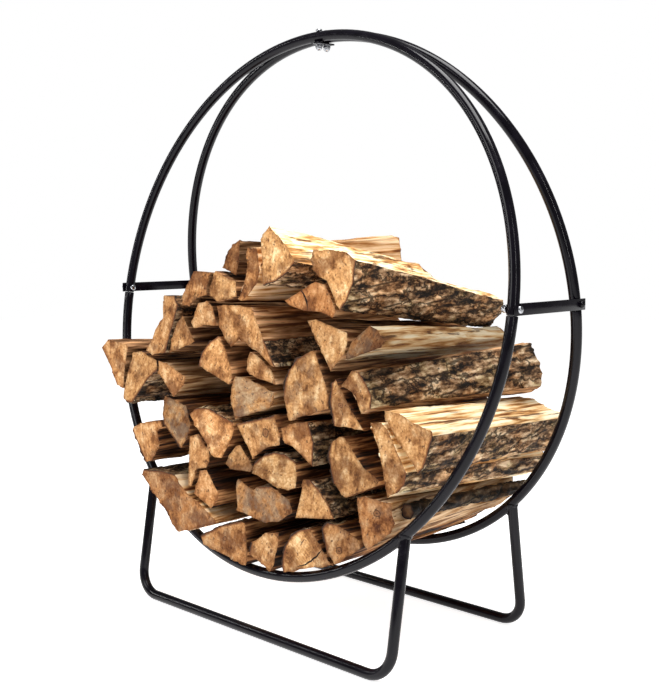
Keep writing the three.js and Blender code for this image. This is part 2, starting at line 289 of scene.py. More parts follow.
def makeBlackPaint():
    material, tree, shader = newMaterial("blackPowderCoat")
    place = objectPlace(tree)
    worn = noise(tree, place, paint["wearSize"], 5, 0.65)
    feed(tree, shader.inputs["Base Color"], ramp(tree, worn, paint["tones"]))
    feed(tree, shader.inputs["Roughness"], span(tree, worn, *paint["roughness"]))
    shader.inputs["Specular IOR Level"].default_value = paint["sheen"]
    bump(tree, shader, noise(tree, place, paint["rippleSize"], 2), *paint["ripple"])
    return material


def makeChrome():
    material, tree, shader = newMaterial("brightPlating")
    place = objectPlace(tree)
    smear = noise(tree, place, plating["smearSize"], 3)
    feed(tree, shader.inputs["Base Color"], ramp(tree, smear, plating["tones"]))
    shader.inputs["Metallic"].default_value = 1.0
    feed(tree, shader.inputs["Roughness"], span(tree, smear, *plating["roughness"]))
    bump(tree, shader, noise(tree, place, plating["grainSize"], 2), *plating["grain"])
    return material


blackPaint = makeBlackPaint()
chrome = makeChrome()

# the rack: hoops, feet, bars, bolts and welds

rack = {
    "hoopRadius": 0.498,
    "tubeRadius": 0.0095,
    "centreToFoot": 0.608,
    "footDepth": 0.378,
    "legSpread": 0.674,
    "footBendRadius": 0.048,
    "boltRise": 0.012,
    "seamBelowBolt": 0.010,
    "seamGap": 0.0006,
    "topSpacing": 0.0205,
    "tubeSides": 28,
    "hoopSteps": 110,
    "bendSteps": 10,
    "endBevel": 0.0014,
    "barCorner": 0.0008,
    "barSmooth": 30,
    "weldRise": 0.0022,
    "weldRipple": 0.004,
    "weldGrain": 0.0011,
    "weldAlongHoop": 0.05,
    "weldDownLeg": 0.03,
}
hoopRadius, tubeRadius = rack["hoopRadius"], rack["tubeRadius"]
lean = math.asin((rack["footDepth"] - rack["topSpacing"]) / 2 / (hoopRadius + rack["centreToFoot"]))
centreHeight = tubeRadius + rack["centreToFoot"] * math.cos(lean)
centreSpacing = rack["footDepth"] - 2 * rack["centreToFoot"] * math.sin(lean)


def standUp(piece, turn):
    # from the side's own upright plane to its leaning place, front or rear
    side = Matrix.Translation((0, -centreSpacing / 2, centreHeight)) @ Matrix.Rotation(-lean, 4, "X")
    piece.matrix_world = Matrix.Rotation(turn, 4, "Z") @ side @ piece.matrix_world


def tubeArc(start, sweep):
    # a bent tube about the hoop's centre, from angle start, anticlockwise seen from the front
    deselectAll()
    bpy.ops.mesh.primitive_circle_add(
        vertices=rack["tubeSides"], radius=tubeRadius,
        location=(hoopRadius * math.cos(start), 0, hoopRadius * math.sin(start)),
        rotation=(0, -start, 0))
    arc = bpy.context.object
    bpy.ops.object.transform_apply(location=True, rotation=True, scale=True)
    bpy.ops.object.mode_set(mode="EDIT")
    bpy.ops.mesh.select_all(action="SELECT")
    bpy.ops.mesh.spin(steps=rack["hoopSteps"], angle=sweep, center=(0, 0, 0), axis=(0, 1, 0))
    return arc


def capTube(piece):
    # both open ends are filled one at a time, then rounded over
    bpy.ops.mesh.select_mode(type="EDGE")
    bpy.ops.mesh.select_all(action="DESELECT")
    bpy.ops.mesh.select_non_manifold()
    bpy.ops.mesh.edge_face_add()
    bpy.ops.mesh.region_to_loop()
    bpy.ops.mesh.bevel(offset=rack["endBevel"], segments=3)
    bpy.ops.mesh.select_all(action="SELECT")
    bpy.ops.mesh.normals_make_consistent(inside=False)
    bpy.ops.object.mode_set(mode="OBJECT")


def buildHoops():
    seam = (rack["seamBelowBolt"] - rack["boltRise"]) / hoopRadius
    gap = rack["seamGap"] / hoopRadius
    for place, turn in (("front", 0), ("rear", math.pi)):
        for half, start, sweep in (
                ("upper", -seam, math.pi + 2 * seam),
                ("lower", math.pi + seam + gap, math.pi - 2 * (seam + gap))):
            arc = tubeArc(start, sweep)
            capTube(arc)
            standUp(arc, turn)
            smooth(arc)
            node = f"hoop_{place}_{half}"
            finishPiece(arc, f"{half}_hoop_{place}", blackPaint, "frame_black", node)


def buildFeet():
    legX = rack["legSpread"] / 2
    bend = rack["footBendRadius"]
    hoopMeet = -math.sqrt(hoopRadius ** 2 - legX ** 2)
    bendX, bendZ = legX - bend, bend - rack["centreToFoot"]
    for place, turn in (("front", 0), ("rear", math.pi)):
        deselectAll()
        bpy.ops.mesh.primitive_circle_add(
            vertices=rack["tubeSides"], radius=tubeRadius, location=(-legX, 0, hoopMeet))
        foot = bpy.context.object
        bpy.ops.object.transform_apply(location=True, rotation=True, scale=True)
        bpy.ops.object.mode_set(mode="EDIT")
        bpy.ops.mesh.select_all(action="SELECT")
        bpy.ops.mesh.extrude_region_move(TRANSFORM_OT_translate={"value": (0, 0, bendZ - hoopMeet)})
        bpy.ops.mesh.spin(
            steps=rack["bendSteps"], angle=math.pi / 2, center=(-bendX, 0, bendZ), axis=(0, 1, 0))
        bpy.ops.mesh.extrude_region_move(TRANSFORM_OT_translate={"value": (2 * bendX, 0, 0)})
        bpy.ops.mesh.spin(
            steps=rack["bendSteps"], angle=math.pi / 2, center=(bendX, 0, bendZ), axis=(0, 1, 0))
        bpy.ops.mesh.extrude_region_move(TRANSFORM_OT_translate={"value": (0, 0, hoopMeet - bendZ)})
        capTube(foot)
        standUp(foot, turn)
        smooth(foot)
        finishPiece(foot, f"foot_tube_{place}", blackPaint, "frame_black", f"foot_{place}")


def flatBar(name, node):
    low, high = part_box(node)
    deselectAll()
    bpy.ops.mesh.primitive_cube_add(size=1, location=(low + high) / 2, scale=high - low)
    bar = bpy.context.object
    bpy.ops.object.transform_apply(location=True, rotation=True, scale=True)
    bpy.ops.object.mode_set(mode="EDIT")
    bpy.ops.mesh.select_all(action="SELECT")
    bpy.ops.mesh.bevel(offset=rack["barCorner"], segments=2)
    bpy.ops.object.mode_set(mode="OBJECT")
    smooth(bar, rack["barSmooth"])
    finishPiece(bar, name, blackPaint, "frame_black", node)


fastener = {
    "nutHeight": 0.012,
    "hexAcross": 0.0124,
    "hexHeight": 0.0058,
    "nutBevel": 0.0005,
    "domeRadius": 0.0058,
    "domeHeight": 0.0066,
    "washerRadius": 0.0075,
    "washerHeight": 0.0011,
    "washerSink": 0.0003,
    "shankRadius": 0.003,
    "shankShorter": 0.018,         # than the whole bolt
    "shankRise": 0.0015,
    "ringBevel": 0.0003,
    "headRadius": 0.006,
    "headHeight": 0.0014,
    "headBelowTop": 0.0033,
    "headSteps": ((0.0012, 0.93), (0.0009, 0.8), (0.0005, 0.5)),     # rise, and width against the last
    "smoothAngle": 35,
}


def bevelAll(offset):
    bpy.ops.object.mode_set(mode="EDIT")
    bpy.ops.mesh.select_all(action="SELECT")
    bpy.ops.mesh.bevel(offset=offset, segments=2)
    bpy.ops.object.mode_set(mode="OBJECT")


def hexNut(hexTop):
    deselectAll()
    bpy.ops.mesh.primitive_cylinder_add(
        vertices=6, radius=fastener["hexAcross"] / 2 / math.cos(math.pi / 6), depth=fastener["hexHeight"],
        location=(0, 0, hexTop - fastener["hexHeight"] / 2))
    nut = bpy.context.object
    bevelAll(fastener["nutBevel"])
    return nut


def nutDome(nutEnd):
    deselectAll()
    bpy.ops.mesh.primitive_uv_sphere_add(
        segments=24, ring_count=14, radius=fastener["domeRadius"],
        location=(0, 0, nutEnd + fastener["domeRadius"]))
    dome = bpy.context.object
    bpy.ops.object.transform_apply(location=True, rotation=True, scale=True)
    bpy.ops.object.mode_set(mode="EDIT")
    bpy.ops.mesh.select_all(action="SELECT")
    bpy.ops.mesh.bisect(
        plane_co=(0, 0, nutEnd + fastener["domeHeight"]), plane_no=(0, 0, 1),
        clear_outer=True, use_fill=True)
    bpy.ops.object.mode_set(mode="OBJECT")
    return dome


def roundBar(radius, depth, middle):
    deselectAll()
    bpy.ops.mesh.primitive_cylinder_add(vertices=24, radius=radius, depth=depth, location=(0, 0, middle))
    bar = bpy.context.object
    bevelAll(fastener["ringBevel"])
    return bar


def boltHead(headEnd):
    # a low round head: a cylinder whose top is drawn in towards a dome
    deselectAll()
    bpy.ops.mesh.primitive_cylinder_add(
        vertices=28, radius=fastener["headRadius"], depth=fastener["headHeight"],
        location=(0, 0, headEnd - fastener["headBelowTop"]))
    head = bpy.context.object
    bpy.ops.object.transform_apply(location=True, rotation=True, scale=True)
    bpy.ops.object.mode_set(mode="EDIT")
    bpy.ops.mesh.select_mode(type="FACE")
    bpy.ops.mesh.select_all(action="DESELECT")
    bpy.ops.object.mode_set(mode="OBJECT")
    for face in head.data.polygons:
        face.select = face.normal.z > 0.9
    bpy.ops.object.mode_set(mode="EDIT")
    for rise, shrink in fastener["headSteps"]:
        bpy.ops.mesh.extrude_region_move(TRANSFORM_OT_translate={"value": (0, 0, rise)})
        bpy.ops.transform.resize(value=(shrink, shrink, 1), center_override=(0, 0, 0))
    bpy.ops.object.mode_set(mode="OBJECT")
    return head


def boltAndNut(name, node, axis, material, slotName):
    # modelled upright with its nut below, then laid along its own axis; its grip comes from the node
    low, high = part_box(node)
    length = max(high - low)
    nutEnd, headEnd = -length / 2, length / 2
    hexTop = nutEnd + fastener["nutHeight"]
    washerMiddle = hexTop + fastener["washerHeight"] / 2 - fastener["washerSink"]
    nut = hexNut(hexTop)
    parts = [
        nut,
        nutDome(nutEnd),
        roundBar(fastener["washerRadius"], fastener["washerHeight"], washerMiddle),
        roundBar(fastener["shankRadius"], length - fastener["shankShorter"], fastener["shankRise"]),
        boltHead(headEnd),
    ]
    deselectAll()
    for part in parts:
        part.select_set(True)
    bpy.context.view_layer.objects.active = nut
    bpy.ops.object.join()
    bpy.ops.object.transform_apply(location=True, rotation=True, scale=True)
    nut.matrix_world = Matrix.Translation((low + high) / 2) @ (
        Matrix.Rotation(math.pi / 2, 4, "Y") if axis == "X" else Matrix.Identity(4))
    smooth(nut, fastener["smoothAngle"])
    finishPiece(nut, name, material, slotName, node)


def addWelds():
    # a low bead where each leg meets its hoop: what a slightly fatter leg and hoop have in common
    legX = rack["legSpread"] / 2
    meet = math.asin(legX / hoopRadius)
    weldRadius = tubeRadius + rack["weldRise"]
    bumps = reliefTexture("weldBumps", "CLOUDS", rack["weldRipple"])
    for place, turn in (("front", 0), ("rear", math.pi)):
        for side, name in ((-1, "left"), (1, "right")):
            deselectAll()
            spot = (side * legX, 0, -hoopRadius * math.cos(meet))
            bpy.ops.mesh.primitive_cylinder_add(
                vertices=rack["tubeSides"], radius=weldRadius, depth=rack["weldAlongHoop"], location=spot,
                rotation=(0, math.pi / 2 - side * meet, 0))
            hoopPart = bpy.context.object
            deselectAll()
            bpy.ops.mesh.primitive_cylinder_add(
                vertices=rack["tubeSides"], radius=weldRadius, depth=rack["weldDownLeg"],
                location=(spot[0], 0, spot[2] - rack["weldDownLeg"] / 2))
            bead = bpy.context.object
            common = bead.modifiers.new("common", "BOOLEAN")
            common.operation = "INTERSECT"
            common.object = hoopPart
            applyModifier(bead, common)
            bpy.data.objects.remove(hoopPart)
            fine = bead.modifiers.new("fine", "REMESH")
            fine.mode = "VOXEL"
            fine.voxel_size = rack["weldGrain"]
            applyModifier(bead, fine)
            ripple = bead.modifiers.new("ripple", "DISPLACE")
            ripple.texture = bumps
            ripple.strength = rack["weldRise"]
            applyModifier(bead, ripple)
            standUp(bead, turn)
            smooth(bead)
            finishPiece(bead, f"weld_{place}_{name}", blackPaint, "frame_black")


buildHoops()
buildFeet()
addWelds()
flatBar("cross_bar_left", "side_bar_left")
flatBar("cross_bar_right", "side_bar_right")
flatBar("top_link", "top_plate")
for side in ("left", "right"):
    boltAndNut(f"bolt_front_{side}", f"side_bolt_front_{side}", "X", chrome, "fastener_chrome")
    boltAndNut(f"bolt_rear_{side}", f"side_bolt_rear_{side}", "X", blackPaint, "fastener_black")
for row in ("front", "rear"):
    boltAndNut(f"bolt_top_{row}", f"top_bolt_{row}", "Z", chrome, "fastener_chrome")
print("rack built")


# wood: sawn end, split side and bark in one material, told apart by the log's own attributes

woodColours = {
    "end": [(0.37, (0.17, 0.07, 0.022)), (0.455, (0.42, 0.205, 0.073)), (0.53, (0.60, 0.335, 0.135)),
            (0.61, (0.86, 0.60, 0.32))],
    "endSpeck": (0.085, 0.032, 0.012),
    # a real stain on weathered patches of the sawn ends, and also the painted shade along their edges
    "endStainAndShade": (0.46, 0.38, 0.32),
    # the cream ramp for split sides is partly painted light on sides on top; the near-black ramp after it
    # is partly dark wood and partly painted shade on sides deep in the stack
    "split": [(0.38, (0.15, 0.05, 0.014)), (0.445, (0.52, 0.26, 0.085)), (0.50, (0.84, 0.58, 0.29)),
              (0.57, (1.0, 0.88, 0.62))],
    "darkAndShadedSplit": [(0.42, (0.008, 0.004, 0.003)), (0.475, (0.045, 0.019, 0.008)),
                  (0.53, (0.19, 0.083, 0.030)), (0.60, (0.56, 0.32, 0.14))],
    "bark": [(0.40, (0.008, 0.005, 0.003)), (0.455, (0.085, 0.044, 0.021)), (0.50, (0.220, 0.122, 0.060)),
             (0.545, (0.37, 0.235, 0.130)), (0.62, (0.72, 0.54, 0.35))],
    "barkWarm": (1.0, 0.82, 0.64),
    "barkCool": (0.90, 0.98, 0.86),
    "innerBark": (0.16, 0.055, 0.02),
    "outerRim": (0.03, 0.017, 0.011),
    "knotWood": (0.25, 0.105, 0.04),
    "knotDark": (0.035, 0.013, 0.008),
    # near-black painted shade inside an end check
    "crack": (0.012, 0.006, 0.004),
    "redWash": (1.0, 0.72, 0.56),
    "greyWash": (0.13, 0.115, 0.10),
}


# name: stretch of the coordinates, size, detail, roughness
woodPatterns = {
    "streaks": ((1, 1, 0.3), 130, 5, 0.55),
    "blotches": (None, 38, 5, 0.58),
    "grit": (None, 230, 3, 0.55),
    "ringWander": (None, 40, 3, 0.55),
    "weather": (None, 21, 5, 0.6),
    "specks": ((1, 1, 0.55), 210, 3, 0.6),
    "knotWander": (None, 150, 4, 0.65),
    "crackWander": (None, 90, 2, 0.55),
    "edgeWander": (None, 90, 4, 0.65),
    "rimWander": (None, 130, 3, 0.55),
    "fibre": ((1, 0.06, 1), 125, 5, 0.55),
    "stain": ((1, 0.22, 1), 24, 4, 0.55),
    "torn": ((1, 0.05, 1), 95, 4, 0.55),
    "plates": ((1, 0.30, 1), 74, 5, 0.62),
    "flecks": ((1, 0.5, 1), 150, 4, 0.6),
    "furrowWander": (None, 60, 3, 0.6),
    "moss": (None, 16, 4, 0.6),
    "borderWander": ((1, 0.4, 1), 60, 4, 0.6),
}
# name: a band of a pattern's values, from and to, and the strength at each
woodBands = {
    "weathered": (0.47, 0.60, 0, 1),
    "specked": (0.60, 0.67, 0, 0.85),
    "greyed": (0.44, 0.58, 0, 1),
    "knotWood": (0.6, 1.25, 0.9, 0),
    "knotRingInside": (0.6, 0.85, 0, 1),
    "knotRingOutside": (0.9, 1.15, 1, 0),
    "knotHeart": (0.05, 0.4, 0.7, 0),
    # painted shade along a sawn end's edge
    "paintedEdgeShade": (0.0, 0.55, 0.7, 0),
    "innerRim": (0.25, 0.38, 0.9, 0),
    "outerRim": (0.15, 0.24, 0.95, 0),
    "tornLines": (0.585, 0.63, 0, 0.85),
    "furrow": (0.02, 0.11, 0.85, 0),
    "warmBark": (0.5, 0.6, 0, 0.8),
    "coolBark": (0.38, 0.48, 0.8, 0),
    "onBark": (0.42, 0.5, 0, 1),
    "nearBark": (0.24, 0.42, 0, 0.75),
    "dullness": (0.3, 0.7, 0.72, 0.92),
}
woodAmounts = {
    "endShares": (0.46, 0.28, 0.26, 0.035),     # blotches, streaks, grit, rings
    "ringsPerMetre": 1150,
    "ringWander": 0.012,
    "knotUneven": 1.9,
    "knotRing": 0.8,
    "crackUneven": 0.004,
    "crackWidth": 0.0017,
    "edgeUneven": 0.9,
    "rimUneven": 0.22,
    "fibreShare": 0.66,
    "plateShare": 0.68,
    "furrowSize": 42,
    "furrowStretch": (1, 0.26, 1),
    "furrowWander": (0.02, 0.03, 0.02),
    "furrowDepth": 0.35,
    "borderUneven": 0.9,
    "fibreDepth": 0.6,
    "endDepths": (0.6, 0.5),                    # streaks, blotches
    "sheen": 0.2,
    "bumpStrength": 0.8,
    "bumpDepth": 0.005,
}


def pattern(tree, vector, name):
    along, size, detail, roughness = woodPatterns[name]
    return noise(tree, stretch(tree, vector, along) if along else vector, size, detail, roughness)


def band(tree, value, name):
    return span(tree, value, *woodBands[name])


def wander(tree, value, uneven, amount):
    # the value, moved up and down by an uneven pattern
    return maths(tree, "MULTIPLY_ADD", uneven, amount, maths(tree, "SUBTRACT", value, amount / 2))


def tint(tree, share, colour, wash):
    return mix(tree, share, colour, mix(tree, 1.0, colour, wash, "MULTIPLY"))


def growthRings(tree, place, grain):
    fromPith = tree.nodes.new("ShaderNodeVectorMath")
    fromPith.operation = "LENGTH"
    feed(tree, fromPith.inputs[0], stretch(tree, grain, (1, 0, 1)))
    wavy = maths(tree, "MULTIPLY_ADD", pattern(tree, place, "ringWander"), woodAmounts["ringWander"],
                 fromPith.outputs["Value"])
    return maths(tree, "SINE", maths(tree, "MULTIPLY", wavy, woodAmounts["ringsPerMetre"]))


def paintKnot(tree, place, knot, colour):
    across, up, radius = knot[0], knot[1], knot[2]
    distance = maths(tree, "SQRT", maths(tree, "ADD", maths(tree, "POWER", across, 2.0),
                                         maths(tree, "POWER", up, 2.0)))
    outwards = wander(tree, maths(tree, "DIVIDE", distance, radius), pattern(tree, place, "knotWander"),
                      woodAmounts["knotUneven"])
    ring = maths(tree, "MULTIPLY", band(tree, outwards, "knotRingInside"),
                 band(tree, outwards, "knotRingOutside"))
    colour = mix(tree, band(tree, outwards, "knotWood"), colour, woodColours["knotWood"])
    colour = mix(tree, maths(tree, "MULTIPLY", ring, woodAmounts["knotRing"]), colour,
                 woodColours["knotDark"])
    return mix(tree, band(tree, outwards, "knotHeart"), colour, woodColours["knotDark"])


def paintCrack(tree, place, crack, colour):
    along, across, bend = crack[0], crack[1], crack[2]
    alongSquared = maths(tree, "POWER", along, 2.0)
    straight = maths(tree, "SUBTRACT", across, maths(tree, "MULTIPLY", bend, alongSquared))
    offLine = maths(tree, "ABSOLUTE", wander(
        tree, straight, pattern(tree, place, "crackWander"), woodAmounts["crackUneven"]))
    width = maths(tree, "MULTIPLY", woodAmounts["crackWidth"], maths(tree, "SUBTRACT", 1.0, alongSquared))
    # the check is a near-black line: painted shade inside it, with no geometry
    return mix(tree, maths(tree, "LESS_THAN", offLine, width), colour, woodColours["crack"])


def paintEndEdge(tree, place, fromBark, fromEdge, colour):
    # painted shade darkens the sawn end towards its edge, and it is bark-brown where that edge is bark
    edge = wander(tree, fromEdge, pattern(tree, place, "edgeWander"), woodAmounts["edgeUneven"])
    colour = tint(tree, band(tree, edge, "paintedEdgeShade"), colour, woodColours["endStainAndShade"])
    rim = maths(tree, "MULTIPLY_ADD", pattern(tree, place, "rimWander"), woodAmounts["rimUneven"], fromBark)
    colour = mix(tree, band(tree, rim, "innerRim"), colour, woodColours["innerBark"])
    return mix(tree, band(tree, rim, "outerRim"), colour, woodColours["outerRim"])


def paintSawnEnd(tree, place, grain, red, grey, ringClear):
    # blotches, short streaks along the saw's path, fine grit and faint rings
    streaks, blotches = pattern(tree, grain, "streaks"), pattern(tree, place, "blotches")
    rings = maths(tree, "MULTIPLY", growthRings(tree, place, grain), ringClear)
    blotchShare, streakShare, gritShare, ringShare = woodAmounts["endShares"]
    body = maths(tree, "MULTIPLY_ADD", blotches, blotchShare, maths(tree, "MULTIPLY", streaks, streakShare))
    body = maths(tree, "MULTIPLY_ADD", pattern(tree, place, "grit"), gritShare, body)
    body = maths(tree, "MULTIPLY_ADD", rings, ringShare, body)
    colour = ramp(tree, body, woodColours["end"])
    colour = tint(tree, band(tree, pattern(tree, place, "weather"), "weathered"), colour,
                  woodColours["endStainAndShade"])
    colour = mix(tree, band(tree, pattern(tree, grain, "specks"), "specked"), colour,
                 woodColours["endSpeck"])
    colour = mix(tree, maths(tree, "MULTIPLY", grey, band(tree, blotches, "greyed")), colour,
                 woodColours["greyWash"])
    streakDepth, blotchDepth = woodAmounts["endDepths"]
    height = maths(tree, "ADD", maths(tree, "MULTIPLY", streaks, streakDepth),
                   maths(tree, "MULTIPLY", blotches, blotchDepth))
    return tint(tree, red, colour, woodColours["redWash"]), height


def paintSplitSide(tree, place, paleAndLit, red):
    # long fibres, stains and torn dark lines; the side paleness blends a near-black copy, partly dark wood
    # and partly painted shade deep in the stack, with a cream copy that is partly painted light on top
    fibre = pattern(tree, place, "fibre")
    share = woodAmounts["fibreShare"]
    body = maths(tree, "MULTIPLY_ADD", fibre, share,
                 maths(tree, "MULTIPLY", pattern(tree, place, "stain"), 1 - share))
    colour = mix(tree, paleAndLit, ramp(tree, body, woodColours["darkAndShadedSplit"]),
                 ramp(tree, body, woodColours["split"]))
    colour = mix(tree, band(tree, pattern(tree, place, "torn"), "tornLines"), colour,
                 woodColours["endSpeck"])
    return tint(tree, red, colour, woodColours["redWash"]), fibre


def barkFurrows(tree, place):
    moved = tree.nodes.new("ShaderNodeVectorMath")
    moved.operation = "MULTIPLY_ADD"
    feed(tree, moved.inputs[0], pattern(tree, place, "furrowWander"))
    moved.inputs[1].default_value = woodAmounts["furrowWander"]
    feed(tree, moved.inputs[2], stretch(tree, place, woodAmounts["furrowStretch"]))
    furrow = tree.nodes.new("ShaderNodeTexVoronoi")
    furrow.feature = "DISTANCE_TO_EDGE"
    furrow.inputs["Scale"].default_value = woodAmounts["furrowSize"]
    tree.links.new(moved.outputs["Vector"], furrow.inputs["Vector"])
    return band(tree, furrow.outputs["Distance"], "furrow")


def paintBark(tree, place):
    # furrowed plates with paler flecks, warmer and greener by turns; the furrows take the darkest bark
    # colour, partly darker bark and partly painted shade in the creases
    plates = pattern(tree, place, "plates")
    share = woodAmounts["plateShare"]
    body = maths(tree, "MULTIPLY_ADD", pattern(tree, place, "flecks"), 1 - share,
                 maths(tree, "MULTIPLY", plates, share))
    furrows = barkFurrows(tree, place)
    colour = mix(tree, furrows, ramp(tree, body, woodColours["bark"]), woodColours["bark"][0][1])
    moss = pattern(tree, place, "moss")
    colour = tint(tree, band(tree, moss, "warmBark"), colour, woodColours["barkWarm"])
    colour = tint(tree, band(tree, moss, "coolBark"), colour, woodColours["barkCool"])
    height = maths(tree, "SUBTRACT", body, maths(tree, "MULTIPLY", furrows, woodAmounts["furrowDepth"]))
    return colour, height, plates


def makeLogWood():
    material, tree, shader = newMaterial("logWood")
    grain, _ = attribute(tree, "grain")
    _, skin = attribute(tree, "skin")        # bark, distance from the bark, distance from any edge
    _, toneAndShade = attribute(tree, "toneAndShade")        # light, partly painted shade, red, grey
    _, sides = attribute(tree, "sides")      # paleness with painted light and shade, red, how clear the rings are
    _, knot = attribute(tree, "knot")        # across, up, radius
    _, crack = attribute(tree, "crack")      # along, across, bend
    sawn = tree.nodes.new("ShaderNodeAttribute")
    sawn.attribute_name = "sawn"
    onEnd = sawn.outputs["Fac"]
    place = objectPlace(tree)
    endColour, endHeight = paintSawnEnd(tree, place, grain, toneAndShade[1], toneAndShade[2], sides[2])
    endColour = paintKnot(tree, place, knot, endColour)
    endColour = paintCrack(tree, place, crack, endColour)
    endColour = paintEndEdge(tree, place, skin[1], skin[2], endColour)
    sideColour, fibre = paintSplitSide(tree, place, sides[0], sides[1])
    barkColour, barkHeight, plates = paintBark(tree, place)
    # put together, with a ragged border between bark and wood
    border = wander(tree, skin[0], pattern(tree, place, "borderWander"), woodAmounts["borderUneven"])
    onBark = band(tree, border, "onBark")
    sideColour = mix(tree, band(tree, border, "nearBark"), sideColour, woodColours["innerBark"])
    sideColour = mix(tree, onBark, sideColour, barkColour)
    colour = mix(tree, onEnd, sideColour, endColour)
    # light scales the whole log's colour: the wood's own lightness, and painted shade on logs whose ends
    # lie in shade
    colour = mix(tree, 1.0, colour, toneAndShade[0], "MULTIPLY")
    tree.links.new(colour, shader.inputs["Base Color"])
    feed(tree, shader.inputs["Roughness"], band(tree, plates, "dullness"))
    shader.inputs["Specular IOR Level"].default_value = woodAmounts["sheen"]
    sideHeight = maths(tree, "ADD", maths(tree, "MULTIPLY", fibre, woodAmounts["fibreDepth"]),
                       maths(tree, "MULTIPLY", barkHeight, onBark))
    height = maths(tree, "MULTIPLY_ADD", maths(tree, "SUBTRACT", endHeight, sideHeight), onEnd, sideHeight)
    bump(tree, shader, height, woodAmounts["bumpStrength"], woodAmounts["bumpDepth"])
    return material


logWood = makeLogWood()

# the logs: bark is where a side faces between two angles (0 to the right, 90 up), and may be
# kept to a stretch of height; light, red and grey colour the sawn end, the side paleness and sideRed the
# split sides.
# Light also scales the whole log: the wood's own lightness, and painted shade where it is low on ends that
# lie in shade (log_37, log_43). The side paleness is partly painted light and shade: near-black painted
# shade on sides deep in the stack, bright painted light on sides on top

